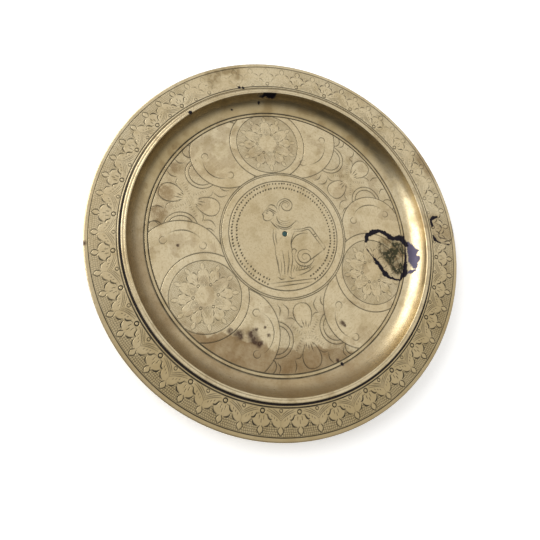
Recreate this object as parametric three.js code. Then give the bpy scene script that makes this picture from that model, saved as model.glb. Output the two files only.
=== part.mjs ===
// Engraved brass plate (paten): a shallow dish raised from one sheet of brass, with a small
// plug closing the lathe-centre hole in the middle of its floor.
// Millimetres, +Z up. The origin is at the centre of the face that the plate rests on.

import * as THREE from "three";

// Driving dimensions of the dish, measured on its upper surface.
const SHEET_THICKNESS = 1.25;
const RIM_RADIUS = 100; // outer edge of the plate
const RIM_INNER_RADIUS = 85.2; // where the flat rim ends at the turned groove
const GROOVE_RADIUS = 84.4; // bottom of the turned groove
const BEAD_RADIUS = 82.8; // crest of the turned bead around the well
const WELL_MOUTH_RADIUS = 81.3; // top of the hollow wall
const FLOOR_RADIUS = 72.9; // foot of the hollow wall
const RIM_EDGE_HEIGHT = 9.9; // above the floor
const RIM_INNER_HEIGHT = 8.8;
const GROOVE_DEPTH = 0.45; // below the inner end of the rim
const BEAD_HEIGHT = 0.35; // above the inner end of the rim
const LIP_ROUNDING = 0.35; // softened corners of the outer edge
const WALL_BULGE = 2.1; // how far the hollow wall bows outwards from its chord
const FLOOR_UNDER_RADIUS = FLOOR_RADIUS + 0.6; // edge of the resting face underneath

// The plug is a countersunk rivet, filed flush on both faces, with a gap all round.
const PLUG_TOP_RADIUS = 1.3;
const PLUG_BOTTOM_RADIUS = 2.1;
const PLUG_GAP = 0.3;

const LATHE_SEGMENTS = 96;
const PLUG_SEGMENTS = 24;
const WALL_STEPS = 6;

const BRASS = { color: 0xa08a5c, roughness: 0.42, metalness: 1.0 };
const TARNISHED_BRASS = { color: 0x2f4f4a, roughness: 0.7, metalness: 0.4 };

const FLOOR_TOP = SHEET_THICKNESS;
const RIM_INNER_TOP = FLOOR_TOP + RIM_INNER_HEIGHT;
const RIM_EDGE_TOP = FLOOR_TOP + RIM_EDGE_HEIGHT;

const at = (radius, height) => new THREE.Vector2(radius, height);

// An arc through two points, bowed by sagitta to the right of the way from start to end.
function bowedArc(start, end, sagitta, steps) {
  const chord = start.distanceTo(end);
  const arcRadius = (chord * chord) / (8 * sagitta) + sagitta / 2;
  const along = end.clone().sub(start).normalize();
  const right = at(along.y, -along.x);
  const centre = start
    .clone()
    .add(end)
    .multiplyScalar(0.5)
    .addScaledVector(right, sagitta - arcRadius);
  const half = Math.asin(chord / 2 / arcRadius);
  return Array.from({ length: steps + 1 }, (_, i) => {
    const turn = half * ((2 * i) / steps - 1);
    return centre
      .clone()
      .addScaledVector(right, arcRadius * Math.cos(turn))
      .addScaledVector(along, arcRadius * Math.sin(turn));
  });
}

function plateBody() {
  const holeTop = PLUG_TOP_RADIUS + PLUG_GAP;
  const holeBottom = PLUG_BOTTOM_RADIUS + PLUG_GAP;
  const innerWall = bowedArc(
    at(FLOOR_RADIUS, FLOOR_TOP),
    at(WELL_MOUTH_RADIUS, RIM_INNER_TOP + 0.1),
    WALL_BULGE,
    WALL_STEPS,
  );
  const wallLean = SHEET_THICKNESS * 0.8;
  const outerWall = bowedArc(
    at(FLOOR_UNDER_RADIUS, 0),
    at(WELL_MOUTH_RADIUS + wallLean, RIM_INNER_TOP - SHEET_THICKNESS),
    WALL_BULGE,
    WALL_STEPS,
  );
  const profile = [
    at(holeBottom, 0),
    ...outerWall,
    at(GROOVE_RADIUS, RIM_INNER_TOP - GROOVE_DEPTH - SHEET_THICKNESS),
    at(RIM_RADIUS - LIP_ROUNDING, RIM_EDGE_TOP - SHEET_THICKNESS),
    at(RIM_RADIUS, RIM_EDGE_TOP - SHEET_THICKNESS + LIP_ROUNDING),
    at(RIM_RADIUS, RIM_EDGE_TOP - LIP_ROUNDING),
    at(RIM_RADIUS - LIP_ROUNDING, RIM_EDGE_TOP),
    at(RIM_INNER_RADIUS, RIM_INNER_TOP),
    at(GROOVE_RADIUS, RIM_INNER_TOP - GROOVE_DEPTH),
    at(GROOVE_RADIUS - 0.4, RIM_INNER_TOP),
    at(BEAD_RADIUS, RIM_INNER_TOP + BEAD_HEIGHT),
    ...innerWall.reverse(),
    at(holeTop, FLOOR_TOP),
    at(holeBottom, 0),
  ];
  return lathe(profile, LATHE_SEGMENTS);
}

function centrePlug() {
  return lathe(
    [at(0, 0), at(PLUG_BOTTOM_RADIUS, 0), at(PLUG_TOP_RADIUS, FLOOR_TOP), at(0, FLOOR_TOP)],
    PLUG_SEGMENTS,
  );
}

// A profile of (radius, height) points turned about +Z.
function lathe(profile, segments) {
  return new THREE.LatheGeometry(profile, segments).rotateX(Math.PI / 2);
}

function piece(name, geometry, finish) {
  const mesh = new THREE.Mesh(geometry, new THREE.MeshStandardMaterial(finish));
  mesh.name = name;
  return mesh;
}

const plate = new THREE.Group();
plate.add(piece("plate_body", plateBody(), BRASS));
plate.add(piece("centre_plug", centrePlug(), TARNISHED_BRASS));

export default plate;
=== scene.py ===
"""An engraved brass plate: a dish spun and turned from one sheet, its face engraved and punched by
hand, with a small plug in the lathe-centre hole. The drawing is cut into a relief map, and a fine
mesh of rings is sunk by that map.

Lengths are in millimetres up to the mesh, which is in metres like the frame. Angles are in
degrees, from +X."""

import bpy
import numpy as np
from mathutils import Matrix, Vector


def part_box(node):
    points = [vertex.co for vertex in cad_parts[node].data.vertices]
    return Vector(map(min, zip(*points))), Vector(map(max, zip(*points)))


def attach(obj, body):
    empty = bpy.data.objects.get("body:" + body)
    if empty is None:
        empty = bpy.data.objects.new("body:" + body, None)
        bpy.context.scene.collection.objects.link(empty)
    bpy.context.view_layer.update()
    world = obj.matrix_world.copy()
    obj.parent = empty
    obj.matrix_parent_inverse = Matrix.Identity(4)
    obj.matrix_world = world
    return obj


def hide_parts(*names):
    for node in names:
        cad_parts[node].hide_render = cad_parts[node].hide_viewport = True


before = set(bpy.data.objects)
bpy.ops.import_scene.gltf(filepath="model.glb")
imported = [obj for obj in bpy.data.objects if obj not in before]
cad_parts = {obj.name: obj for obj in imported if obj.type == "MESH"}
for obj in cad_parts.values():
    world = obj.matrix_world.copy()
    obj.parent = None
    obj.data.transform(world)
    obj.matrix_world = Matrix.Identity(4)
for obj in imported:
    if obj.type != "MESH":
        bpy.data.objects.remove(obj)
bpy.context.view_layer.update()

MM = 0.001
PLATE_LOW, PLATE_HIGH = (np.array(corner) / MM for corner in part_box("plate_body"))
PLUG_HIGH = np.array(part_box("centre_plug")[1]) / MM
RIM_RADIUS = PLATE_HIGH[0]
FLOOR_TOP = float(PLUG_HIGH[2])
SHEET = FLOOR_TOP

# ---------------------------------------------------------------- drawing on the plane of the plate


def polar(radius, degrees, centre=(0.0, 0.0)):
    """The point or points at a radius and an angle about a centre."""
    a = np.radians(degrees)
    return np.stack([centre[0] + radius * np.cos(a), centre[1] + radius * np.sin(a)], -1)


def arc(centre, radius, start, end, step=0.6):
    """Points along an arc from one angle to another."""
    count = max(4, int(abs(np.radians(end - start)) * radius / step))
    return polar(radius, np.linspace(start, end, count + 1), centre)


def curve(points, step=0.5):
    """A smooth (Catmull-Rom) curve through a few points."""
    p = np.asarray(points, float)
    ends = np.vstack([2 * p[0] - p[1], p, 2 * p[-1] - p[-2]])
    parts = []
    for before, start, end, after in zip(ends, ends[1:], ends[2:], ends[3:]):
        count = max(2, int(np.linalg.norm(end - start) / step))
        t = np.linspace(0, 1, count, endpoint=False)[:, None]
        parts.append(
            0.5 * (2 * start + (end - before) * t
                   + (2 * before - 5 * start + 4 * end - after) * t**2
                   + (3 * start - before - 3 * end + after) * t**3)
        )
    return np.vstack([*parts, p[-1:]])


def mirrored(points):
    """The same points on the other side of the second axis."""
    return np.asarray(points, float) * (-1, 1)


class Relief:
    """How deep the plate's face is cut, on a square grid of cells."""

    def __init__(self, half, cell):
        self.half, self.cell = half, cell
        self.axis = np.arange(-half, half + cell / 2, cell)
        self.depth = np.zeros((len(self.axis), len(self.axis)), np.float32)

    def window(self, low, high):
        """The rows and columns of the cells between two corners."""
        first = np.maximum(np.floor((np.asarray(low) + self.half) / self.cell).astype(int), 0)
        last = np.ceil((np.asarray(high) + self.half) / self.cell).astype(int) + 1
        return slice(first[1], last[1]), slice(first[0], last[0])

    def cut(self, points, width=0.4, depth=0.1, taper=0.0, keep=None):
        """A groove along points, as wide as width in the middle and narrower by taper at its ends."""
        points = np.asarray(points, float)
        along = np.linspace(-1, 1, len(points))
        half_widths = width / 2 * (1 - taper * along**2)
        for a, b, wa, wb in zip(points, points[1:], half_widths, half_widths[1:]):
            if keep is not None and not keep((a + b) / 2):
                continue
            reach = max(wa, wb)
            rows, columns = self.window(np.minimum(a, b) - reach, np.maximum(a, b) + reach)
            x, y = self.axis[columns][None, :] - a[0], self.axis[rows][:, None] - a[1]
            span = b - a
            t = np.clip((x * span[0] + y * span[1]) / max(span @ span, 1e-9), 0, 1)
            gap2 = (x - t * span[0]) ** 2 + (y - t * span[1]) ** 2
            half_width = wa + (wb - wa) * t
            groove = depth * (2 * half_width / width) * np.clip(1 - gap2 / half_width**2, 0, None)
            view = self.depth[rows, columns]
            np.maximum(view, groove, out=view)

    def inside(self, outline):
        """The window round a closed outline, and which of its cells lie inside."""
        outline = np.asarray(outline, float)
        rows, columns = self.window(outline.min(0), outline.max(0))
        x, y = self.axis[columns][None, :], self.axis[rows][:, None]
        inside = np.zeros((y.size, x.size), bool)
        for (ax, ay), (bx, by) in zip(outline, np.roll(outline, -1, axis=0)):
            if ay != by:
                inside ^= ((ay > y) != (by > y)) & (x < (bx - ax) * (y - ay) / (by - ay) + ax)
        return (rows, columns), inside


# ---------------------------------------------------------------- border of palmettes, on rim and roundels
# u runs along the border and is 1 from one bud to the next, v runs from the inner line (0) to the
# outer line (1).

BUD = [(0.05, 0.655), (0.13, 0.74), (0.13, 0.83), (0.06, 0.895), (0, 0.945)]
SHOULDER = [(0.15, 0.67), (0.30, 0.65), (0.40, 0.59), (0.46, 0.48)]
LEAF_END = [(0.47, 0.41), (0.59, 0.405), (0.67, 0.34), (0.715, 0.235)]
OGEES = [
    [(0, 0.45), (0.13, 0.345), (0.32, 0.25), (0.55, 0.17), (0.78, 0.12)],
    [(0, 0.375), (0.13, 0.275), (0.32, 0.185), (0.52, 0.115), (0.72, 0.06)],
    [(0, 0.30), (0.12, 0.21), (0.28, 0.125), (0.46, 0.05)],
]
LEAF_DASHES = [
    ((0.20, 0.45), (0.23, 0.39)), ((0.33, 0.39), (0.36, 0.33)), ((0.47, 0.33), (0.50, 0.27)),
]
WAIST = [(0.46, 0.46), (0.37, 0.35), (0.25, 0.26), (0.12, 0.24)]
PALMETTE_DASHES = [
    ((0, 0.54), (0, 0.43)), ((-0.12, 0.43), (-0.11, 0.31)), ((0.12, 0.43), (0.11, 0.31)),
]
SILHOUETTE = [(0.47, 0.38), (0.46, 0.50), (0.40, 0.61), (0.30, 0.67), (0.15, 0.69), (0.06, 0.69),
              (0.15, 0.75), (0.14, 0.85), (0.06, 0.91), (0, 0.96)]


class Border:
    """Buds round a ring: palmettes, and between them pairs of half leaves over an ogee arch."""

    def __init__(self, relief, inner, outer, pairs, phase, centre=(0.0, 0.0), drift=None):
        self.relief, self.inner, self.outer, self.centre = relief, inner, outer, centre
        self.pitch = 180 / pairs
        self.starts = [phase + 360 * i / pairs + (drift(i) if drift else 0) for i in range(pairs)]

    def place(self, points, at):
        points = np.asarray(points, float)
        radius = self.inner + points[:, 1] * (self.outer - self.inner)
        return polar(radius, at + points[:, 0] * self.pitch, self.centre)

    def line(self, points, at, width, depth, taper):
        for side in (points, mirrored(points)):
            self.stroke(curve(side, 0.06), at, width, depth, taper)

    def stroke(self, points, at, width, depth, taper):
        self.relief.cut(self.place(points, at), width * self.breadth, depth * self.strength, taper)

    def ring(self, v, at, radius, width, depth):
        centre = self.place([(0, v)], at)[0]
        circle = arc(centre, radius * self.breadth, 0, 360, 0.3)
        self.relief.cut(circle, width * self.breadth, depth * self.strength)

    def palmette(self, at):
        self.line(BUD, at, 0.55, 0.13, 0.2)
        self.line(SHOULDER, at, 0.78, 0.17, 0.6)
        self.line(WAIST, at, 0.45, 0.10, 0.3)
        for dash in PALMETTE_DASHES:
            self.stroke(dash, at, 0.6, 0.14, 0.3)
        self.ring(0.146, at, 0.95, 0.6, 0.17)

    def leaf_pair(self, at):
        self.line(BUD, at, 0.52, 0.13, 0.2)
        self.line(SHOULDER, at, 0.68, 0.15, 0.6)
        self.line(LEAF_END, at, 0.76, 0.17, 0.55)
        self.stroke([(0, 0.65), (0, 0.47)], at, 0.42, 0.10, 0.4)
        for ogee in OGEES:
            self.line(ogee, at, 0.42, 0.10, 0.3)
        for dash in LEAF_DASHES:
            self.line(dash, at, 0.46, 0.10, 0.2)
        self.ring(0.10, at, 0.75, 0.5, 0.11)

    def ground(self, low=0.40, high=0.975):
        """Where the ground between the buds is punched."""
        x, y = self.relief.axis[None, :] - self.centre[0], self.relief.axis[:, None] - self.centre[1]
        v = (np.hypot(x, y) - self.inner) / (self.outer - self.inner)
        ground = (v > low) & (v < high)
        outline = np.array(SILHOUETTE + [(-u, v) for u, v in reversed(SILHOUETTE)])
        for start in self.starts:
            for at in (start, start + self.pitch):
                window, inside = self.relief.inside(self.place(outline, at))
                ground[window] &= ~inside
        return ground

    def engrave(self, breadth=1.0, strength=1.0):
        self.breadth, self.strength = breadth, strength
        for start in self.starts:
            self.palmette(start)
            self.leaf_pair(start + self.pitch)


def pearls(x, y, pitch):
    """Rows of small round grains about a centre: 1 on a grain's top, 0 between grains."""
    radius, turn = np.hypot(x, y), np.arctan2(y, x) / (2 * np.pi)
    row = np.round(radius / pitch)
    count = np.maximum(np.round(2 * np.pi * row), 6)
    along = turn * count + 0.37 * row
    across = radius - row * pitch
    aside = (along - np.round(along)) * 2 * np.pi * radius / count
    return np.clip(1 - (across**2 + aside**2) / (0.5 * pitch) ** 2, 0, 1)


def hatch(x, y, degrees, pitch):
    """Parallel lines: 1 in the middle of a line, 0 halfway between two."""
    a = np.radians(degrees)
    s = (x * np.cos(a) + y * np.sin(a)) / pitch
    return np.clip(1 - (3.2 * (s - np.round(s))) ** 2, 0, 1)


# ---------------------------------------------------------------- floor
MEDALLION, MEDALLION_RING, FOOT_LINE = 30.4, (34.2, 35.1), 70.93
FIELD = (35.4, 70.7)
LOBE_AT, LOBE_RADIUS = 67.8, 3.6
ROUNDELS = (101.5, 221.5, 341.5)
ROUNDEL_AT, ROUNDEL_RADIUS, ROUNDEL_FRAME = 53.5, 17.9, 21.9
FLOWERS = (43.5, 165.0, 283.5)
FLOWER_AT = 53.5
# Each crescent beside a roundel is given by the angle, distance and radius of its outer
# circle, then of the short arc inside it, and where that arc starts and ends.
CRESCENTS = [
    (85.6, 59.2, 25.8, 78.5, 56.5, 12.9, -76, 4),
    (128.7, 54.4, 20.0, 134.0, 52.4, 10.1, 188, 289),
    (201.0, 57.3, 22.6, 196.0, 55.6, 12.4, 44, 130),
    (244.9, 58.3, 22.9, 252.9, 54.5, 11.0, -58, 64),
    (319.4, 56.3, 21.2, 313.7, 57.3, 11.6, 168, 251),
    (9.0, 53.2, 18.7, 10.1, 53.3, 12.8, 61, 152),
]


def in_ring(x, y):
    return (np.hypot(x, y) > FIELD[0]) & (np.hypot(x, y) < FIELD[1])


def in_field(point):
    return in_ring(*point)


def clear_of(circles):
    """A test that a point is in the field and outside every circle."""
    def keep(point):
        return in_field(point) and all(np.hypot(*(point - c)) > r for c, r in circles)
    return keep


def crescent_circles():
    return [(polar(at, angle), r) for angle, at, r, *_ in CRESCENTS]


def roundel_circles():
    return [(polar(ROUNDEL_AT, angle), ROUNDEL_FRAME) for angle in ROUNDELS]


def engrave_crescents(relief):
    keep = clear_of(roundel_circles())
    for _, _, _, arc_angle, arc_at, arc_radius, start, end in CRESCENTS:
        centre = polar(arc_at, arc_angle)
        relief.cut(arc(centre, arc_radius, start, end), 0.62, 0.12, 0.6)
        for side, last in ((-1, start), (1, end)):
            curl = polar(arc_radius - 0.9, last + side * 17, centre)
            facing = last - side * 60
            relief.cut(arc(curl, 1.8, facing, facing + side * 290, 0.4), 0.5, 0.12, 0.4)
    for centre, radius in crescent_circles():
        relief.cut(arc(centre, radius, 0, 360), 0.6, 0.12, keep=keep)


def engrave_roundels(relief):
    masks = []
    for angle in ROUNDELS:
        centre = polar(ROUNDEL_AT, angle)
        relief.cut(arc(centre, ROUNDEL_FRAME, 0, 360), 0.62, 0.13, keep=in_field)
        relief.cut(arc(centre, ROUNDEL_RADIUS, 0, 360), 0.55, 0.13, keep=in_field)
        border = Border(relief, 4.2, ROUNDEL_RADIUS, 6, 10.5, centre)
        border.engrave(0.7, 0.8)
        for spoke in range(12):
            relief.cut(polar(np.array([2.0, 7.5]), 25.5 + 30 * spoke, centre), 0.3, 0.05, 0.6)
        masks.append(border.ground(0.42, 0.98))
    return masks


PETAL = [(2.4, 4.3), (4.4, 8.2), (4.9, 12.2), (3.2, 15.4), (0, 16.4)]
PETAL_TIP = [(4.7, 8.2), (6.4, 9.8), (9.1, 9.9)]
INNER_LOBES = (
    [(9.4, 17.6), (7.4, 15.0), (7.2, 12.8), (8.3, 10.4)], [(12.2, 17.8), (11.3, 15.0), (12.4, 12.0)],
)
OUTER_LOBES = (
    [(9.2, 10.4), (9.0, 13.4), (10.6, 16.1)], [(18.4, 9.4), (17.2, 12.2), (18.6, 14.8)],
)
LUNETTE = (16.4, -1.0, 8.8, 6.9)  # along, outwards, outer and inner radius


class Flower:
    """A six-petalled flower. Its own axes run along the plate's ring and outwards."""

    def __init__(self, relief, angle):
        self.relief, self.angle = relief, angle
        self.centre = polar(FLOWER_AT, angle)
        self.out, self.along = polar(1, angle), polar(1, angle + 90)
        self.keep = clear_of(crescent_circles())

    def place(self, points):
        p = np.asarray(points, float)
        return self.centre + p[:, :1] * self.along + p[:, 1:] * self.out

    def line(self, points, width=0.6, depth=0.12, taper=0.4):
        for side in (1, -1):
            stroke = self.place(curve(points) * (side, 1))
            self.relief.cut(stroke, width, depth, taper, self.keep)

    def petals(self):
        for way in (1, -1):
            self.line([(a, way * b) for a, b in PETAL], taper=0.2)
            self.line([(a, way * b) for a, b in PETAL_TIP], 0.5)
        for lobe in INNER_LOBES:
            self.line([(a, -b) for a, b in lobe])
        for lobe in OUTER_LOBES:
            self.line(lobe)

    def dashes(self):
        for way in (90, -90):
            for turn, start, end in ((-24, 3.4, 6.6), (-9, 3.0, 9.4), (6, 3.4, 8.2), (20, 3.2, 6.4)):
                stroke = polar(np.array([start, (start + end) / 2, end]), way + turn)
                self.relief.cut(self.place(stroke), 0.6, 0.14, 0.8)
        for side in (1, -1):
            for way in (1, -1):
                for step in range(6):
                    at = np.array([side * (3.0 + 0.85 * step), way * (1.2 + 0.98 * step)])
                    lean = np.array([side * 0.42, -way * 0.36])
                    self.relief.cut(self.place([at - lean, at + lean]), 0.5, 0.13, 0.3, self.keep)
        for step in range(9):
            self.relief.cut(self.place(polar(np.array([1.0, 2.1]), 20 + 40 * step)), 0.45, 0.11, 0.4)

    def lunettes(self):
        masks = []
        for side in (1, -1):
            centre = self.place([(side * LUNETTE[0], LUNETTE[1])])[0]
            for radius in LUNETTE[2:]:
                self.relief.cut(arc(centre, radius, 0, 360), 0.58, 0.12, keep=self.keep)
            masks.append((centre, LUNETTE[3] - 0.3))
        return masks

    def engrave(self):
        self.petals()
        self.dashes()
        return self.lunettes()


def petal_mask(relief):
    """Where the flowers' long petals lie."""
    mask = np.zeros(relief.depth.shape, bool)
    for angle in FLOWERS:
        flower = Flower(relief, angle)
        for way in (1, -1):
            half = curve([(0, 0)] + PETAL) * (1, way)
            window, inside = relief.inside(flower.place(np.vstack([half, mirrored(half[::-1])])))
            mask[window] |= inside
    return mask


DOT_SEED, DOT_WOBBLE = 11, 0.15
DOT_ROWS = ((28.9, 107), (26.3, 97))  # the radius of each row of dots, and how many
GROUND_GAP = (254, 303)  # no dots between these angles, where the figure's ground lines are


def engrave_medallion(relief):
    relief.cut(arc((0, 0), MEDALLION, 0, 360), 0.62, 0.16)
    for radius in MEDALLION_RING:
        relief.cut(arc((0, 0), radius, 0, 360), 0.58, 0.15)
    wobble = np.random.default_rng(DOT_SEED)
    for radius, count in DOT_ROWS:
        for i in range(count):
            at = radius + wobble.uniform(-DOT_WOBBLE, DOT_WOBBLE)
            dot = polar(at, 360 * (i + wobble.uniform(-DOT_WOBBLE, DOT_WOBBLE)) / count)
            if not GROUND_GAP[0] < 360 * i / count < GROUND_GAP[1]:
                relief.cut([dot, dot + 0.1], wobble.uniform(0.95, 1.3), 0.15)


# The figure in the middle: a slim robed figure of no one in particular, seen from its right side.
FIGURE = {
    "coil": [
        (-4.0, 11.6), (-4.7, 14.4), (-3.5, 18.2), (0.1, 20.2), (3.4, 18.7), (4.1, 15.8), (2.3, 13.5),
        (-0.5, 13.5), (-1.9, 15.5), (-1.0, 17.6), (1.1, 17.7), (1.9, 16.1), (0.7, 15.0), (-0.2, 15.9),
    ],
    "coil_inner": [(-3.0, 12.4), (-3.5, 14.6), (-2.4, 17.4), (0.2, 19.0), (2.4, 17.8), (2.8, 16.0)],
    "hairline": [(-9.8, 14.4), (-8.4, 15.6), (-6.2, 15.4), (-4.6, 13.6)],
    "band": [(-10.0, 13.9), (-7.6, 13.0), (-4.4, 11.4)],
    "band_lower": [(-10.6, 13.0), (-7.9, 12.1), (-5.0, 10.5)],
    "profile": [
        (-10.6, 13.0), (-11.4, 11.9), (-11.5, 11.2), (-12.8, 9.8), (-12.1, 9.4), (-12.3, 8.8),
        (-11.9, 8.4), (-12.1, 7.8), (-11.6, 6.9), (-10.4, 6.3), (-8.4, 6.9), (-6.6, 8.6),
    ],
    "brow": [(-11.0, 11.8), (-10.1, 12.0), (-9.2, 11.5)],
    "eye": [(-10.9, 10.9), (-10.2, 10.6), (-9.5, 10.9)],
    "ear": [(-7.2, 10.9), (-6.4, 10.7), (-6.6, 9.5), (-7.3, 9.4)],
    "throat": [(-8.4, 6.8), (-6.2, 4.5), (-3.0, 2.0)],
    "nape": [(-4.8, 9.6), (-3.9, 6.8), (-1.8, 4.6)],
    "collar": [(-5.4, 5.4), (-3.4, 3.9), (0.0, 3.4), (3.0, 4.6), (5.0, 6.6), (6.9, 8.1), (8.4, 6.9)],
    "collar_lower": [(-4.4, 3.8), (-1.6, 2.6), (2.0, 3.0), (4.4, 4.6)],
    "arm": [(4.4, 3.0), (9.3, 3.6), (14.4, 5.1), (17.4, 2.2), (21.0, -2.4), (22.7, -4.2)],
    "arm_lower": [(5.0, 1.9), (9.5, 2.5), (13.5, 3.7), (16.2, 0.9), (19.8, -3.4), (21.6, -5.6)],
    "cuff": [(16.1, 0.9), (17.8, 1.8)],
    "cuff_end": [(17.0, -0.2), (18.7, 0.7)],
    "hand": [(22.7, -4.2), (23.2, -5.6), (22.4, -6.9), (21.6, -5.6)],
    "near_arm": [(-6.3, 2.2), (-6.4, -2.4), (-5.4, -7.0), (-4.8, -8.6)],
    "near_arm_back": [(-4.9, 1.4), (-4.9, -2.6), (-4.1, -6.6)],
    "back": [(5.4, 1.7), (4.2, -1.6), (3.6, -5.2), (4.2, -9.2)],
    "robe_front": [(-5.4, -7.6), (-4.6, -12.4), (-3.0, -19.4), (-2.0, -23.6)],
    "robe_fold": [(-1.2, -9.4), (0.0, -15.8), (0.4, -22.6)],
    "robe_fold_2": [(2.0, -8.8), (2.6, -14.6), (1.9, -22.0)],
    "robe_back": [(4.0, -9.0), (4.6, -14.0), (3.6, -20.4), (4.2, -23.4)],
    "sash": [(22.4, -6.9), (17.2, -11.0), (10.4, -16.2)],
    "veil": [(13.0, 1.6), (9.6, 1.2), (5.8, -1.0), (3.9, -4.9), (4.4, -8.5)],
    "scroll": [
        (14.9, -9.0), (12.4, -7.6), (8.6, -8.6), (7.4, -11.6), (8.8, -14.4), (12.2, -14.8),
        (14.6, -12.4), (13.4, -10.2), (10.8, -10.0), (9.7, -12.0), (11.2, -13.2), (12.5, -12.2),
    ],
    "scroll_edge": [
        (16.6, -10.2), (16.2, -13.6), (13.4, -16.4), (9.0, -16.6), (6.2, -14.2), (5.6, -11.0),
    ],
    "scroll_top": [(5.6, -11.0), (6.6, -8.6), (5.0, -7.8), (4.0, -9.6), (5.2, -11.2)],
    "hem": [(16.8, -16.0), (14.4, -18.6), (11.0, -20.6), (7.4, -22.2)],
    "hem_upper": [(15.6, -15.6), (13.0, -17.6), (9.6, -18.8), (6.2, -19.4)],
    "foot": [(-3.4, -23.4), (-1.8, -24.6), (0.6, -24.2)],
    "foot_2": [(2.4, -22.8), (4.2, -23.8), (6.0, -23.2)],
    "ground": [(-7.3, -27.2), (18.4, -22.7)],
    "ground_lower": [(-5.6, -29.0), (15.8, -24.8)],
}


def engrave_figure(relief):
    for points in FIGURE.values():
        relief.cut(curve(points), 0.6, 0.12, 0.5)
    for row in range(4):  # the rows of beads on the collar
        beads = arc((-0.4, 12.0), 5.0 + 1.1 * row, 222 + 4 * row, 312 - 6 * row, 0.5)
        relief.cut(beads, 0.4, 0.09, 0.5)
    for fold in range(7):  # the folds of the cloth that falls behind the figure
        top = np.array([5.0 + 1.5 * fold, -15.4 - 0.35 * abs(fold - 3)])
        drop = np.array([[0, 0], [0.7, -1.5], [-0.1, -3.0], [0.6, -4.6 - 0.3 * (fold % 2)]])
        relief.cut(curve(top + drop * (1, 1 - 0.09 * fold)), 0.45, 0.10, 0.6)
    for pleat in range(4):  # the pleats of the robe
        x = -3.6 + 1.7 * pleat
        relief.cut(curve([(x - 0.5, -13.0 - pleat), (x + 0.4, -17.2), (x + 0.2, -22.0)]), 0.45, 0.10, 0.6)


def engrave_foot_lobes(relief):
    """Small lobes on the foot line, where the crescents' outer circles run into it."""
    keep = clear_of(crescent_circles() + roundel_circles())
    lobes = []
    for angle, at, radius, *_ in CRESCENTS:
        reach = (at**2 + LOBE_AT**2 - radius**2) / (2 * at * LOBE_AT)
        for side in (-1, 1):
            centre = polar(LOBE_AT, angle + side * np.degrees(np.arccos(reach)))
            relief.cut(arc(centre, LOBE_RADIUS, 0, 360), 0.58, 0.12, keep=keep)
            lobes.append((centre, LOBE_RADIUS - 0.2))
    return lobes


def engrave_floor(relief):
    engrave_medallion(relief)
    engrave_figure(relief)
    engrave_crescents(relief)
    roundel_grounds = engrave_roundels(relief)
    lunettes = engrave_foot_lobes(relief)
    for angle in FLOWERS:
        lunettes += Flower(relief, angle).engrave()
    return roundel_grounds, lunettes


def engrave_rim(relief):
    border = Border(relief, 85.58, 97.96, 31, 273.4)
    border.engrave()
    return border.ground()


# ---------------------------------------------------------------- wear, stains, painted shade and noise, on the plane


def value_noise(x, y, size, seed):
    """Smooth noise from 0 to 1, with blobs about as large as size."""
    lattice = np.random.default_rng(seed).random((64, 64))
    fx, fy = x / size + 31.7, y / size + 17.3
    ix, iy = np.floor(fx).astype(int), np.floor(fy).astype(int)
    tx, ty = fx - ix, fy - iy
    tx, ty = tx * tx * (3 - 2 * tx), ty * ty * (3 - 2 * ty)
    corner = [lattice[(iy + j) % 64, (ix + i) % 64] for j in (0, 1) for i in (0, 1)]
    low, high = corner[0] + (corner[1] - corner[0]) * tx, corner[2] + (corner[3] - corner[2]) * tx
    return low + (high - low) * ty


def cloud(x, y, size, seed):
    """Three layers of noise, from 0 to 1."""
    layers = (value_noise(x, y, size / 2**i, seed + i) for i in range(3))
    return sum(layer * share for layer, share in zip(layers, (0.57, 0.28, 0.15)))


def step(value, low, high):
    """0 below low, 1 above high and smooth in between."""
    t = np.clip((value - low) / (high - low), 0, 1)
    return t * t * (3 - 2 * t)


def near(x, y, low, high, reach):
    """The places inside a box that is reach larger than low to high."""
    across = (x > low[0] - reach) & (x < high[0] + reach)
    return np.flatnonzero(across & (y > low[1] - reach) & (y < high[1] + reach))


def blob(x, y, centre, size, edge=0.45, seed=0):
    """1 inside a ragged round spot of that radius, 0 well outside it."""
    spot = np.zeros(x.shape)
    at = near(x, y, centre, centre, 2 * size)
    gap = np.hypot(x[at] - centre[0], y[at] - centre[1]) / size
    ragged = 0.35 * (cloud(x[at], y[at], 1.1, seed + 5) - 0.5)
    gap += 0.9 * (cloud(x[at], y[at], size * 0.9, seed) - 0.5) + ragged
    spot[at] = 1 - step(gap, 1 - edge, 1 + edge)
    return spot


def sector(angle, start, end, soft=1.5):
    """1 between two angles and 0 outside them."""
    middle, half = (start + end) / 2, (end - start) / 2
    gap = np.abs((angle - middle + 180) % 360 - 180)
    return 1 - step(gap, half - soft, half + soft)


def band(radius, start, end, soft=0.6):
    return step(radius, start - soft, start + soft) * (1 - step(radius, end - soft, end + soft))


def ribbon(x, y, points, widths, seed):
    """1 on a ragged ribbon along points, whose half width goes through widths."""
    line = curve(points, 0.7)
    width = np.interp(np.linspace(0, 1, len(line)), np.linspace(0, 1, len(widths)), widths)
    band_of = np.zeros(x.shape)
    at = near(x, y, line.min(0), line.max(0), 2 * max(widths))
    gap = np.full(at.shape, 9.0)
    for point, half_width in zip(line, width):
        gap = np.minimum(gap, np.hypot(x[at] - point[0], y[at] - point[1]) / half_width)
    band_of[at] = 1 - step(gap + 1.3 * (cloud(x[at], y[at], 1.5, seed) - 0.5), 0.85, 1.1)
    return band_of


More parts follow.
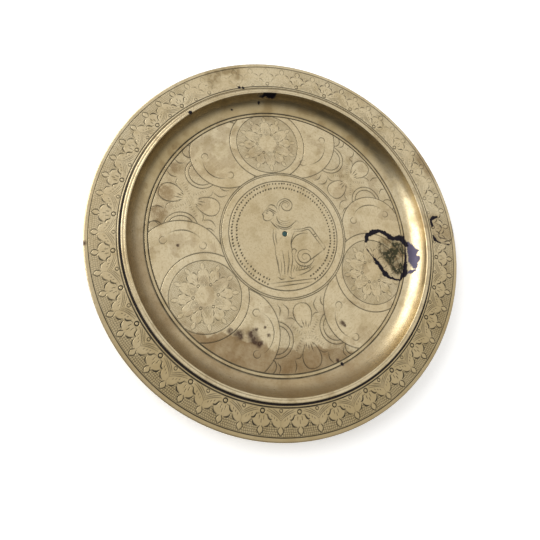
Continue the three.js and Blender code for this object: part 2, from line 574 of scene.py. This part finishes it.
CRUST_TOP = [
    (73.2, 0.6), (71.2, 3.2), (68.4, 4.2), (65.6, 2.9), (63.4, 3.8), (60.8, 5.6), (57.4, 6.6),
    (53.8, 6.2), (50.8, 4.8), (48.7, 2.8), (48.0, 0.2),
]
CRUST_TOP_WIDTHS = [1.5, 2.0, 1.7, 1.1, 1.4, 1.4, 1.0, 1.2, 1.3, 1.5, 0.9]
CRUST_LOW = [
    (47.9, -2.2), (48.2, -4.2), (50.0, -6.6), (52.0, -9.0), (54.2, -11.6), (56.5, -14.6), (58.6, -17.4),
    (61.0, -19.4), (64.0, -20.2), (67.6, -20.6), (69.9, -17.8), (71.4, -14.6), (72.3, -9.0),
    (72.6, -3.0), (72.6, 1.0),
]
CRUST_LOW_WIDTHS = [0.3, 0.5, 0.4, 1.5, 1.1, 1.4, 1.0, 0.4, 0.8, 1.5, 1.4, 1.0, 0.6, 0.4, 0.5]
WALL_CRUST = [(74.6, 1.0), (75.8, -2.4), (76.5, -6.0), (76.6, -9.4), (76.2, -12.6)]
WALL_CRUST_LOW = [(71.6, -17.0), (73.4, -16.2), (76.4, -15.0)]
RIM_HOOK = [(90.0, 15.9), (87.8, 15.3), (86.0, 13.9), (85.9, 12.2), (86.5, 10.4)]
RIM_WEDGE = [(86.4, 4.4), (87.1, 2.4), (88.2, 1.3), (90.6, 0.4)]
RIM_THREADS = [
    [(89.0, 11.9), (90.9, 11.3), (92.0, 10.0), (91.5, 7.6)], [(90.6, 0.4), (92.8, -0.1), (95.4, -0.3)],
    [(98.5, 13.4), (98.9, 10.6), (99.3, 7.3), (98.6, 4.2), (96.2, 2.0), (92.0, 0.9)],
    [(91.2, 7.8), (90.0, 5.6), (90.4, 3.6), (94.4, 3.0)],
]
SHARP_SPOTS = [  # black spots: centre and radius
    ((-17.4, 76.4), 0.8), ((-32.6, 69.7), 0.55), ((-30.4, 80.4), 0.9), ((-28.2, 80.6), 0.9),
    ((-56.2, 59.7), 1.0), ((31.0, -65.6), 1.0), ((95.3, -0.3), 0.6),
]
MAROON_SPOTS = [  # dark red-brown spots: centre and radius
    ((-22.6, -53.2), 2.3), ((-27.2, -51.6), 1.5), ((-16.0, -52.6), 2.3), ((-14.6, -55.2), 2.4),
    ((-12.4, -57.0), 1.6), ((-14.2, -50.2), 0.9), ((-7.8, -52.8), 0.9), ((-9.8, -49.0), 0.7),
    ((32.0, -45.4), 1.4), ((33.2, -46.6), 0.9), ((28.6, -63.8), 0.9), ((-55.7, -10.9), 0.8),
    ((-98.2, -16.2), 1.1),
]
BROWN_SPOTS = [  # washes of brown tarnish: centre, radius and strength
    ((-66.0, 4.2), 4.6, 0.75), ((-64.6, 16.5), 4.2, 0.7), ((-60.2, 30.2), 3.4, 0.7),
    ((-53.5, 39.0), 2.8, 0.4), ((28.6, -58.5), 5.2, 0.6), ((44.0, -50.0), 4.0, 0.3),
    ((-62.0, 42.0), 1.4, 0.6), ((-18.0, -53.5), 5.0, 0.5), ((10.5, -60.5), 5.5, 0.7),
    ((-38.0, 61.0), 3.0, 0.35), ((-46.0, -60.0), 5.0, 0.3),
]


TIDE_LINE = [  # angle and radius along the inner edge of the brown tarnish on the lower floor
    (-180, 80), (-138, 74), (-130, 68), (-124, 63), (-117, 58), (-112, 57), (-105, 55.5), (-100, 57),
    (-96, 60.5), (-88, 58.5), (-80, 60), (-72, 59), (-64, 64), (-58, 70), (-52, 75), (180, 80),
]


def stains_and_shade(x, y):
    """How much of each kind of stain, wear or painted shade there is at each place, from 0 to 1."""
    radius, angle = np.hypot(x, y), np.degrees(np.arctan2(y, x))
    fine, coarse = cloud(x, y, 1.6, 90), cloud(x, y, 6.5, 91)
    black = ribbon(x, y, CRUST_TOP, CRUST_TOP_WIDTHS, 3)
    black = np.maximum(black, ribbon(x, y, CRUST_LOW, CRUST_LOW_WIDTHS, 4))
    for points, widths in ((RIM_HOOK, (0.7, 1.0, 0.9, 0.7)), (RIM_WEDGE, (0.5, 0.9, 0.7, 0.35))):
        black = np.maximum(black, ribbon(x, y, points, widths, 8))
    for points in RIM_THREADS:
        black = np.maximum(black, 0.75 * ribbon(x, y, points, (0.3, 0.42, 0.3), 9))
    for i, (centre, size) in enumerate(SHARP_SPOTS):
        black = np.maximum(black, blob(x, y, centre, size, 0.25, 21 + i))
    blue = np.maximum(ribbon(x, y, WALL_CRUST, (1.1, 2.1, 2.4, 2.4, 1.5), 5),
                        ribbon(x, y, WALL_CRUST_LOW, (0.9, 1.1, 0.5), 6))
    maroon = np.zeros(x.shape)
    for i, (centre, size) in enumerate(MAROON_SPOTS):
        spot = blob(x, y, centre, size, 0.55, 40 + i)
        maroon = np.maximum(maroon, spot * (0.6 + 0.4 * step(fine, 0.35, 0.55)))
    wall_top = sector(angle + 5 * (fine - 0.5), 96.6, 103, 1.0) * band(radius, 79.6, 81.5, 0.3)
    black = np.maximum(black, wall_top * (radius > 81.3 - 2.2 * fine))

    pool = blob(x, y, (65.0, -5.5), 8.6, 0.3, 6)
    pool = np.maximum(pool, blob(x, y, (66.0, -14.0), 4.6, 0.3, 7)) * (radius < 73)
    speckle = step(cloud(x, y, 0.9, 92), 0.32, 0.62)
    green = pool * np.clip((0.35 + step(coarse, 0.34, 0.48)) * (0.4 + 0.9 * speckle), 0, 1)
    brown = 0.75 * pool * step(fine, 0.25, 0.6)
    for i, (centre, size, strength) in enumerate(BROWN_SPOTS):
        spot = strength * blob(x, y, centre, size, 0.35, 60 + i)
        brown = np.maximum(brown, spot * (0.55 + 0.45 * step(fine, 0.3, 0.6)))
    tide = np.interp(angle, *np.transpose(TIDE_LINE)) + 6 * (coarse - 0.5) + 4 * (fine - 0.5)
    low = step(radius, tide - 0.6, tide + 2.2) * (1 - step(radius, 70.2, 71.2))
    brown = np.maximum(brown, low * (0.5 + 0.5 * coarse + 0.25 * fine))
    wall = band(radius, 73, 81.2, 0.4)
    brown = np.maximum(brown, wall * sector(angle, 180, 312, 18) * (0.38 + 0.5 * coarse))
    brown = np.maximum(brown, 0.3 * step(coarse, 0.55, 0.7) * band(radius, 38, 84))
    by_the_hook = 0.35 * sector(angle, 0, 12, 2) * band(radius, 86, 98, 1)
    brown = np.maximum(brown, by_the_hook * step(coarse, 0.3, 0.6))
    brown = np.maximum(brown, 0.6 * sector(angle, 25, 34, 2) * band(radius, 95, 99.6, 1))
    worn = sector(angle, 92, 127, 9) * band(radius, 86.5, 97.2, 1.5) * (0.7 + 0.3 * step(coarse, 0.4, 0.6))
    less = 0.55 * sector(angle, 2, 92, 12) * band(radius, 86.5, 97.2, 1.5)
    worn = np.maximum(worn, less * step(coarse, 0.4, 0.62))
    tan = sector(angle, 108.3, 120.8, 1.4) * band(radius, 90.5, 99.4, 1.2)
    tan *= 1 - sector(angle, 111.5, 117, 1.6) * (1 - step(radius, 94.0, 95.5))
    tan = np.maximum(tan, 0.6 * blob(x, y, (-45.8, 79.0), 2.6, 0.4, 14)) * (0.5 + 0.5 * step(fine, 0.3, 0.6))
    # Rim and lip darker on the near side, from 205 to 355 degrees: partly tarnish, partly painted shade.
    grime_and_shade = sector(angle, 205, 355, 28) * band(radius, 83.9, 101, 0.3)
    # A darker strip between the two foot lines.
    grime_and_shade = np.maximum(grime_and_shade, 0.6 * band(radius, 70.9, 72.8, 0.2)) * (0.7 + 0.4 * coarse)
    # Painted shade: the far side of the wall, from 38 to 172 degrees, made darker.
    grime_and_shade = np.maximum(grime_and_shade, wall * sector(angle, 38, 172, 16) * (0.65 + 0.7 * coarse))
    # Somewhat darker over the medallion.
    grime_and_shade = np.maximum(grime_and_shade, 0.22 * (1 - step(radius, 27, 31)) * step(radius, 2, 5))
    brown = np.maximum(brown, 0.12 * sector(angle, 195, 345, 15) * step(radius, 98.0, 98.4))
    brown = np.maximum(brown, 0.55 * sector(angle, 22, 40, 3) * step(radius, 98.0, 98.6))
    # Painted shade with some black dirt in the groove between the bead and the rim, deepest on the near
    # side, from 160 to 352 degrees.
    groove = band(radius, 83.72, 84.78, 0.06)
    black = np.maximum(black, groove * (0.35 + 0.6 * sector(angle, 160, 352, 22)))
    return {
        "black": black, "blue": blue, "maroon": maroon, "green": green, "brown": brown, "worn": worn,
        "tan": tan, "grime_and_shade": grime_and_shade,
    }


# ---------------------------------------------------------------- the plate's mesh

PLUG_TOP_RADIUS = 1.3
HOLE_RADIUS = PLUG_TOP_RADIUS + 0.12
RIM_WARP, GROUND_DEPTH, CUT_SCALE = 0.2, 0.09, 1.6
WALL_FOOT, WALL_TOP, WALL_BULGE = (72.9, 0.0), (81.3, 8.86), 2.1
RIM_INNER = (85.2, 8.8)
TURNED_LINES = [  # radius, width and depth of the lines turned or scribed right round the face
    (FOOT_LINE, 0.74, 0.17), (72.75, 0.74, 0.17), (85.58, 0.66, 0.17), (97.96, 0.55, 0.14),
]


def bowed(start, end, bulge, steps):
    """An arc between two points, bowed to the right of the way from start to end."""
    start, end = np.array(start), np.array(end)
    chord = np.linalg.norm(end - start)
    radius = chord**2 / (8 * bulge) + bulge / 2
    along = (end - start) / chord
    right = np.array([along[1], -along[0]])
    centre = (start + end) / 2 + right * (bulge - radius)
    turn = np.arcsin(chord / 2 / radius) * np.linspace(-1, 1, steps + 1)
    return centre + radius * (np.outer(np.cos(turn), right) + np.outer(np.sin(turn), along))


def stretch(points, step_length):
    """Points evenly spaced along a line, without its last one."""
    points = np.asarray(points, float)
    along = np.r_[0, np.cumsum(np.linalg.norm(np.diff(points, axis=0), axis=1))]
    count = max(1, round(along[-1] / step_length))
    wanted = np.linspace(0, along[-1], count, endpoint=False)
    return np.stack([np.interp(wanted, along, points[:, i]) for i in (0, 1)], 1)


BEAD = [
    WALL_TOP, (81.42, 9.02), (81.62, 9.14), (81.9, 9.18), (82.2, 9.13), (82.42, 9.02), (82.62, 9.01),
    (82.85, 9.12), (83.15, 9.18), (83.5, 9.13), (83.75, 9.0), (83.92, 8.8), (84.02, 8.55), (84.16, 8.3),
    (84.35, 8.22), (84.55, 8.3), (84.72, 8.6), (84.85, 8.76), RIM_INNER,
]
LIP = [(99.3, 9.85), (99.75, 9.78), (99.95, 9.58), (100, 9.3), (100, 8.95), (99.88, 8.72), (99.6, 8.6)]
UNDERSIDE = [(99.6, 8.6), (84.6, 7.45), (83.0, 7.5)]
FACE_STRETCHES = [  # where each stretch of the floor ends, the step between rings, and their points
    (3, 0.25, 64), (6, 0.27, 128), (12, 0.27, 256), (24, 0.27, 512), (49, 0.27, 1024), (70.4, 0.27, 2048),
    (72.9, 0.14, 2048),
]


def face_rings():
    """(radius, height above the floor, points round the ring) from the hole out over the lip."""
    rings = []
    start = HOLE_RADIUS
    for end, spacing, count in FACE_STRETCHES:
        rings += [(r, z, count) for r, z in stretch([(start, 0), (end, 0)], spacing)]
        start = end
    rings += [(r, z, 1024) for r, z in stretch(bowed(WALL_FOOT, WALL_TOP, WALL_BULGE, 60), 0.42)]
    rings += [(r, z, 2048) for r, z in stretch(BEAD, 0.19)]
    rings += [(r, z, 2048) for r, z in stretch([RIM_INNER, (86.0, 8.86)], 0.15)]
    rings += [(r, z, 4096) for r, z in stretch([(86.0, 8.86), (97.5, 9.715)], 0.24)]
    rings += [(r, z, 2048) for r, z in stretch([(97.5, 9.715), LIP[0]], 0.15)]
    rings += [(r, z, 2048) for r, z in stretch(LIP, 0.16)]
    return rings


def back_rings():
    """The same for the underside, from the lip back to the hole."""
    outer_wall = bowed((73.5, -SHEET), (82.4, 7.5), WALL_BULGE, 40)[::-1]
    rings = [(r, z, 512) for r, z in stretch(UNDERSIDE[:2], 1.0)]
    rings += [(r, z, 512) for r, z in stretch([UNDERSIDE[1], UNDERSIDE[2], outer_wall[0]], 0.5)]
    rings += [(r, z, 512) for r, z in stretch(outer_wall, 0.5)]
    rings += [(r, -SHEET, 512) for r, _ in stretch([(73.5, 0), (24, 0)], 1.0)]
    rings += [(r, -SHEET, 128) for r, _ in stretch([(24, 0), (PLUG_HIGH[0] + 0.25, 0)], 1.0)]
    return rings


def ring_faces(first, second, start, next_start):
    """The faces between two rings whose counts may differ, as rows of vertex numbers."""
    if first == second:
        i = np.arange(first)
        j = (i + 1) % first
        return np.stack([start + i, next_start + i, next_start + j, start + j], 1)
    if second > first:
        ratio = second // first
        i = np.arange(first)
        outer = [next_start + (i * ratio + k) % second for k in range(ratio + 1)]
        return np.stack([start + i, *outer, start + (i + 1) % first], 1)
    ratio = first // second
    i = np.arange(second)
    inner = [start + (i * ratio + k) % first for k in range(ratio, -1, -1)]
    return np.stack([*inner, next_start + i, next_start + (i + 1) % second], 1)


def mesh_object(name, points, face_groups, attributes):
    """A mesh object from points in metres and groups of faces with equally many corners."""
    loops = np.concatenate([group.ravel() for group in face_groups])
    sizes = np.concatenate([np.full(len(group), group.shape[1]) for group in face_groups])
    mesh = bpy.data.meshes.new(name)
    mesh.vertices.add(len(points))
    mesh.vertices.foreach_set("co", points.astype(np.float32).ravel())
    mesh.loops.add(len(loops))
    mesh.loops.foreach_set("vertex_index", loops.astype(np.int32))
    mesh.polygons.add(len(sizes))
    mesh.polygons.foreach_set("loop_start", np.r_[0, np.cumsum(sizes)[:-1]].astype(np.int32))
    mesh.update(calc_edges=True)
    mesh.polygons.foreach_set("use_smooth", np.ones(len(sizes), bool))
    for key, values in attributes.items():
        layer = mesh.attributes.new(key, "FLOAT", "POINT")
        layer.data.foreach_set("value", np.asarray(values, np.float32))
    mesh.validate()
    obj = bpy.data.objects.new(name, mesh)
    bpy.context.scene.collection.objects.link(obj)
    return obj


def bilinear(grid, relief, x, y):
    """A relief map's value at any places."""
    fx = np.clip((x + relief.half) / relief.cell, 0, len(relief.axis) - 1.001)
    fy = np.clip((y + relief.half) / relief.cell, 0, len(relief.axis) - 1.001)
    ix, iy = fx.astype(int), fy.astype(int)
    tx, ty = fx - ix, fy - iy
    low = grid[iy, ix] * (1 - tx) + grid[iy, ix + 1] * tx
    high = grid[iy + 1, ix] * (1 - tx) + grid[iy + 1, ix + 1] * tx
    return low * (1 - ty) + high * ty


def engrave():
    """The relief of the drawing, and that of the punched and hatched grounds, finer and shallower."""
    drawing = Relief(101, 0.1)
    roundel_grounds, lunettes = engrave_floor(drawing)
    rim_ground = engrave_rim(drawing)
    x, y = np.meshgrid(drawing.axis, drawing.axis)
    field = in_ring(x, y) & ~petal_mask(drawing)
    for centre, radius in crescent_circles() + roundel_circles():
        field &= np.hypot(x - centre[0], y - centre[1]) > radius + 0.2
    texture = np.zeros_like(drawing.depth)
    shake = [0.7 * (cloud(x, y, 2.4, seed) - 0.5) for seed in (80, 85)]
    texture[field] = 0.6 * (1 - pearls(x + shake[0], y + shake[1], 0.85))[field]
    texture[rim_ground] = (1 - pearls(x + shake[0], y + shake[1], 0.98))[rim_ground]
    for mask in roundel_grounds:
        texture[mask] = (1 - pearls(x + y, y - x, 1.15))[mask]
    for centre, radius in lunettes:
        inside = field & (np.hypot(x - centre[0], y - centre[1]) < radius)
        texture[inside] = hatch(x, y, 15, 0.75)[inside]
    for grid in (drawing.depth, texture):
        grid[1:-1, 1:-1] = 0.5 * grid[1:-1, 1:-1] + 0.125 * (
            grid[:-2, 1:-1] + grid[2:, 1:-1] + grid[1:-1, :-2] + grid[1:-1, 2:]
        )
    return drawing, texture


def build_plate():
    drawing, texture = engrave()
    face, back = face_rings(), back_rings()
    rings = face + back
    starts = np.r_[0, np.cumsum([count for _, _, count in rings])]
    radius = np.concatenate([np.full(count, r) for r, _, count in rings])
    height = np.concatenate([np.full(count, z) for _, z, count in rings])
    angle = np.concatenate([np.arange(count) * 2 * np.pi / count for _, _, count in rings])
    on_face = np.arange(len(radius)) < starts[len(face)]
    x, y = radius * np.cos(angle), radius * np.sin(angle)

    marks = stains_and_shade(x, y)
    cut = bilinear(drawing.depth, drawing, x, y) * (1 - 0.75 * marks["worn"])
    for line, width, depth in TURNED_LINES:
        cut = np.maximum(cut, depth * np.clip(1 - ((radius - line) / (width / 2)) ** 2, 0, None))
    cut[~on_face] = 0
    grain = np.where(on_face, bilinear(texture, drawing, x, y), 0) * (1 - 0.9 * marks["worn"])
    dents = 0.05 * (cloud(x, y, 17, 71) - 0.5) * step(radius, 30, 60)
    warp = RIM_WARP * step(radius, 84, 99) * np.cos(2 * angle + 1.1)
    height = height - CUT_SCALE * cut - GROUND_DEPTH * grain + dents * on_face + warp
    height[~on_face & (radius < 73.6)] = -SHEET
    points = np.stack([x, y, height + FLOOR_TOP], 1) * MM

    counts = [count for _, _, count in rings]
    following = list(range(1, len(rings))) + [0]
    groups = [ring_faces(counts[i], counts[j], starts[i], starts[j]) for i, j in enumerate(following)]
    attributes = {"cut": cut / 0.12, "ground": grain}
    for name, values in marks.items():
        attributes[name] = np.where(on_face, values, 0)
    return mesh_object("plate", points, groups, attributes)


def build_plug():
    """A countersunk plug, its top filed flush and slightly domed."""
    top, bottom = PLUG_TOP_RADIUS, PLUG_HIGH[0]
    profile = [(0.02, 0.06), (0.5, 0.055), (0.9, 0.03), (1.15, -0.02), (top, -0.12), (top + 0.05, -0.3),
               (bottom - 0.1, -SHEET + 0.15), (bottom - 0.15, -SHEET), (0.6, -SHEET), (0.02, -SHEET)]
    count = 64
    starts = np.arange(len(profile) + 1) * count
    turn = np.arange(count) * 2 * np.pi / count
    points = np.concatenate([
        np.stack([r * np.cos(turn), r * np.sin(turn), np.full(count, z + FLOOR_TOP)], 1) for r, z in profile
    ])
    groups = [ring_faces(count, count, starts[i], starts[i + 1]) for i in range(len(profile) - 1)]
    last = starts[len(profile) - 1]
    groups += [np.arange(count)[None, :], (last + np.arange(count)[::-1])[None, :]]
    return mesh_object("plug", points * MM, groups, {})


# ---------------------------------------------------------------- materials


class Nodes:
    """Short names for the few kinds of shader nodes that the materials use."""

    def __init__(self, name):
        self.material = bpy.data.materials.new(name)
        self.material.use_nodes = True
        self.tree = self.material.node_tree
        self.shader = self.tree.nodes["Principled BSDF"]
        self.place = self.tree.nodes.new("ShaderNodeTexCoord").outputs["Object"]

    def connect(self, value, socket):
        if isinstance(value, bpy.types.NodeSocket):
            self.tree.links.new(value, socket)
        else:
            socket.default_value = value

    def attribute(self, name):
        node = self.tree.nodes.new("ShaderNodeAttribute")
        node.attribute_name = name
        return node.outputs["Fac"]

    def math(self, operation, *values):
        node = self.tree.nodes.new("ShaderNodeMath")
        node.operation = operation
        for value, socket in zip(values, node.inputs):
            self.connect(value, socket)
        return node.outputs[0]

    def ramp(self, value, low, high, start=0.0, end=1.0):
        """value from low to high, turned into start to end and held there."""
        node = self.tree.nodes.new("ShaderNodeMapRange")
        for socket, number in zip(node.inputs, (value, low, high, start, end)):
            self.connect(number, socket)
        return node.outputs[0]

    def mix(self, share, first, second):
        node = self.tree.nodes.new("ShaderNodeMix")
        node.data_type = "RGBA"
        self.connect(share, node.inputs[0])
        for colour, socket in zip((first, second), node.inputs[6:8]):
            self.connect((*colour, 1) if isinstance(colour, tuple) else colour, socket)
        return node.outputs[2]

    def noise(self, size, detail=3.0, stretch=(1, 1, 1), roughness=0.55):
        """Noise whose blobs are about that many millimetres."""
        mapping = self.tree.nodes.new("ShaderNodeMapping")
        mapping.inputs["Scale"].default_value = stretch
        self.tree.links.new(self.place, mapping.inputs["Vector"])
        node = self.tree.nodes.new("ShaderNodeTexNoise")
        node.inputs["Scale"].default_value = 1 / (size * MM)
        node.inputs["Detail"].default_value = detail
        node.inputs["Roughness"].default_value = roughness
        self.tree.links.new(mapping.outputs[0], node.inputs["Vector"])
        return node.outputs["Fac"]

    def streaks(self):
        """Fine streaks round the middle, left by turning and polishing on the lathe."""
        split = self.tree.nodes.new("ShaderNodeSeparateXYZ")
        self.tree.links.new(self.place, split.inputs[0])
        x, y, z = split.outputs
        radius = self.math("SQRT", self.math("ADD", self.math("POWER", x, 2.0), self.math("POWER", y, 2.0)))
        across = self.math("DIVIDE", self.math("ADD", radius, z), 0.45 * MM)
        join = self.tree.nodes.new("ShaderNodeCombineXYZ")
        self.tree.links.new(across, join.inputs[0])
        self.tree.links.new(self.math("MULTIPLY", self.math("ARCTAN2", y, x), 6.0), join.inputs[1])
        node = self.tree.nodes.new("ShaderNodeTexNoise")
        node.noise_dimensions = "2D"
        node.inputs["Scale"].default_value = 1.0
        node.inputs["Detail"].default_value = 3.0
        self.tree.links.new(join.outputs[0], node.inputs["Vector"])
        return node.outputs["Fac"]

    def bump(self, height, distance, under=None):
        node = self.tree.nodes.new("ShaderNodeBump")
        node.inputs["Distance"].default_value = distance * MM
        self.connect(height, node.inputs["Height"])
        if under is not None:
            self.tree.links.new(under, node.inputs["Normal"])
        return node.outputs[0]

    def finish(self, **sockets):
        for name, value in sockets.items():
            value = (*value, 1) if isinstance(value, tuple) else value
            self.connect(value, self.shader.inputs[name.replace("_", " ")])
        return self.material


BRASS, BRASS_WARM, BRASS_DULL = (0.62, 0.53, 0.355), (0.56, 0.455, 0.28), (0.36, 0.275, 0.14)
GRIME, CRUST_AND_SHADE_BLACK, CORROSION = (0.030, 0.026, 0.016), (0.006, 0.004, 0.009), (0.020, 0.023, 0.008)
TARNISH_BROWN, TARNISH_BLUE, LACQUER_TAN = (0.20, 0.12, 0.048), (0.055, 0.05, 0.10), (0.27, 0.20, 0.10)
MAROON = (0.028, 0.008, 0.008)


STAIN_TONES = [  # the mark, its colour, and how much of the metal it covers
    ("tan", LACQUER_TAN, 0.8), ("brown", TARNISH_BROWN, 0.85), ("green", CORROSION, 0.95),
    ("blue", TARNISH_BLUE, 0.95), ("maroon", MAROON, 0.85),
]


def brass():
    n = Nodes("engraved_brass")
    clouds, patches, specks = n.noise(38), n.noise(7, 5), n.noise(1.1, 2)
    streaks = n.streaks()
    colour = n.mix(n.ramp(clouds, 0.35, 0.68), BRASS, BRASS_WARM)
    colour = n.mix(n.ramp(patches, 0.5, 0.72, 0, 0.55), colour, BRASS_DULL)
    colour = n.mix(n.ramp(streaks, 0.5, 0.8, 0, 0.35), colour, BRASS_DULL)
    colour = n.mix(n.ramp(specks, 0.5, 0.72, 0, 0.42), colour, BRASS_DULL)
    colour = n.mix(n.ramp(n.noise(1.6, 1), 0.76, 0.8, 0, 0.5), colour, GRIME)
    # This mask darkens the metal to dull brass: painted shade on the far side of the wall, partly painted
    # shade on the rim's near side, and darker bands by the foot and over the medallion.
    grime_and_shade = n.attribute("grime_and_shade")
    colour = n.mix(n.math("MULTIPLY", grime_and_shade, 0.85), colour, BRASS_DULL)
    for name, tone, strength in STAIN_TONES:
        colour = n.mix(n.math("MULTIPLY", n.attribute(name), strength), colour, tone)
    # The punched ground and the engraved lines hold more dirt where that mask is high, so on the rim's near
    # side they also carry painted shade.
    soil = n.math("MULTIPLY", n.ramp(n.attribute("ground"), 0.25, 1), n.ramp(grime_and_shade, 0, 1, 0.34, 0.7))
    colour = n.mix(soil, colour, GRIME)
    dirt = n.math("MULTIPLY", n.ramp(n.attribute("cut"), 0.05, 0.8), n.ramp(grime_and_shade, 0, 0.6, 0.8, 1.0))
    dirt = n.math("MULTIPLY", dirt, n.ramp(n.noise(6), 0.3, 0.6, 0.78, 1.0))
    colour = n.mix(dirt, colour, GRIME)
    # Black crust, spots and dirt, and the painted shade in the groove inside the rim.
    black = n.attribute("black")
    colour = n.mix(black, colour, CRUST_AND_SHADE_BLACK)
    crust_and_shade = n.math("MAXIMUM", black, n.attribute("green"))
    matt = n.math("MAXIMUM", crust_and_shade, n.math("MULTIPLY", dirt, 0.8))
    matt = n.math("MAXIMUM", matt, n.math("MULTIPLY", n.attribute("brown"), 0.35))
    matt = n.math("MAXIMUM", matt, n.math("MULTIPLY", n.attribute("blue"), 0.5))
    mottle = n.math("ADD", n.math("MULTIPLY", patches, 0.6), n.math("MULTIPLY", specks, 0.4))
    gloss = n.ramp(mottle, 0.3, 0.7, 0.28, 0.42)
    roughness = n.math("ADD", gloss, n.math("MULTIPLY", matt, 0.35))
    metal = n.math("SUBTRACT", 1.0, n.math("MULTIPLY", matt, 0.85))
    surface = n.bump(streaks, 0.02)
    surface = n.bump(specks, 0.006, surface)
    surface = n.bump(n.math("ADD", patches, n.math("MULTIPLY", black, n.noise(0.8))), 0.05, surface)
    return n.finish(Base_Color=colour, Roughness=roughness, Metallic=metal, Normal=surface,
                    Specular_IOR_Level=0.2)


def tarnish():
    n = Nodes("tarnished_plug")
    grains = n.noise(0.35)
    colour = n.mix(n.ramp(grains, 0.35, 0.65), (0.012, 0.045, 0.045), (0.04, 0.10, 0.095))
    return n.finish(Base_Color=colour, Roughness=n.ramp(grains, 0.3, 0.7, 0.5, 0.8), Metallic=0.25,
                    Normal=n.bump(grains, 0.05))


def pale_floor():
    n = Nodes("pale_floor")
    tone = n.mix(n.noise(160), (0.94, 0.94, 0.94), (0.96, 0.96, 0.96))
    return n.finish(Base_Color=tone, Roughness=0.6, Emission_Color=(1.0, 1.0, 1.0), Emission_Strength=0.3)


# ---------------------------------------------------------------- pieces
plate = build_plate()
plate.data.materials.append(brass())
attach(plate, "root")
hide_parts("plate_body")

plug = build_plug()
plug.data.materials.append(tarnish())
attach(plug, "root")
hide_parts("centre_plug")

# ---------------------------------------------------------------- floor, light and camera
RIM = float(RIM_RADIUS * MM)
CENTRE = Vector((0, 0, FLOOR_TOP * MM))
WINDOW_PLACE, WINDOW_SIZE, WINDOW_WATTS = (-1.5, 0.78, 0.6), 2.7, 74
BRIGHTEST_WAY = (0.35, 0.25, 0.9)  # where the studio's light mostly comes from
FOCAL_LENGTH, FRAME_SHIFT = 34.89, (-0.0541, -0.1703)
CAMERA_PLACE = (-0.7914, -0.8029, 2.5966)  # in rim radii, from the middle of the floor


def area_light(name, place, target, size, watts, colour=(1, 1, 1)):
    light = bpy.data.lights.new(name, "AREA")
    light.shape = "DISK"
    light.size = size
    light.energy = watts
    light.color = colour
    obj = bpy.data.objects.new(name, light)
    obj.location = place
    obj.rotation_euler = (Vector(target) - Vector(place)).to_track_quat("-Z", "Y").to_euler()
    bpy.context.scene.collection.objects.link(obj)


bpy.ops.mesh.primitive_plane_add(size=12, location=(0, 0, PLATE_LOW[2] * MM - 0.0002))
floor = bpy.context.object
floor.name = "floor"
floor.data.materials.append(pale_floor())

area_light("window", WINDOW_PLACE, CENTRE, WINDOW_SIZE, WINDOW_WATTS, (1.0, 0.99, 0.96))


def studio_dome():
    """Light from all round, brightest overhead and towards the back right, dim near the horizon."""
    world = bpy.data.worlds.new("studio")
    world.use_nodes = True
    tree = world.node_tree
    direction = tree.nodes.new("ShaderNodeTexCoord").outputs["Generated"]
    facing = tree.nodes.new("ShaderNodeVectorMath")
    facing.operation = "DOT_PRODUCT"
    facing.inputs[1].default_value = Vector(BRIGHTEST_WAY).normalized()
    tree.links.new(direction, facing.inputs[0])
    level = tree.nodes.new("ShaderNodeMapRange")
    level.interpolation_type = "SMOOTHSTEP"
    for name, number in (("From Min", 0.3), ("From Max", 1.0), ("To Min", 0.075), ("To Max", 1.06)):
        level.inputs[name].default_value = number
    tree.links.new(facing.outputs["Value"], level.inputs["Value"])
    seen = tree.nodes.new("ShaderNodeLightPath").outputs["Is Camera Ray"]
    shown = tree.nodes.new("ShaderNodeMath")
    shown.operation = "MAXIMUM"
    tree.links.new(level.outputs[0], shown.inputs[0])
    tree.links.new(seen, shown.inputs[1])
    tree.links.new(shown.outputs[0], tree.nodes["Background"].inputs["Strength"])
    tree.nodes["Background"].inputs["Color"].default_value = (1.0, 0.99, 0.97, 1)
    bpy.context.scene.world = world


studio_dome()

camera_data = bpy.data.cameras.new("camera")
camera_data.lens, camera_data.sensor_width = FOCAL_LENGTH, 36
camera_data.shift_x, camera_data.shift_y = FRAME_SHIFT
camera_data.clip_start = 0.01
camera = bpy.data.objects.new("camera", camera_data)
CAMERA_RIGHT, CAMERA_UP = Vector((0.9481, -0.0022, 0.3181)), Vector((-0.1202, 0.9234, 0.3645))
CAMERA_BACK = CAMERA_RIGHT.cross(CAMERA_UP)
camera.matrix_world = Matrix.Translation(CENTRE + RIM * Vector(CAMERA_PLACE)) @ Matrix(
    (CAMERA_RIGHT, CAMERA_UP, CAMERA_BACK)
).transposed().to_4x4()
bpy.context.scene.collection.objects.link(camera)
bpy.context.scene.camera = camera
bpy.context.scene.view_settings.view_transform = "Standard"
